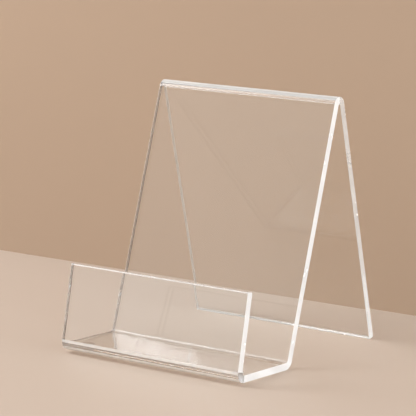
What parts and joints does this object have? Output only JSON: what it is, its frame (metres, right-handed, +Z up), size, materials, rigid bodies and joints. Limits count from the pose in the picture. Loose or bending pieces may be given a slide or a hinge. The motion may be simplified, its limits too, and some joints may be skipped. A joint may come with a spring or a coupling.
{
  "type": "book stand",
  "caption": "Free-standing clear acrylic book stand bent from one sheet: a front lip and shelf hold the book, a leaning back carries it and a rear leg props it up.",
  "frame": {"origin": "on the table, in the middle of the stand's width and depth", "axes": "+X to the right as seen from the front, +Y from the front lip to the rear leg, +Z up"},
  "size_m": [0.15, 0.1654, 0.1789],
  "materials": {
    "clear_acrylic": "clear and colourless, with polished faces and edges",
    "clear_bumper": "clear soft polyurethane, slightly satin"
  },
  "bodies": {
    "root": {"bent_sheet": "clear_acrylic", "front_left_foot": "clear_bumper", "front_right_foot": "clear_bumper"}
  },
  "joints": []
}
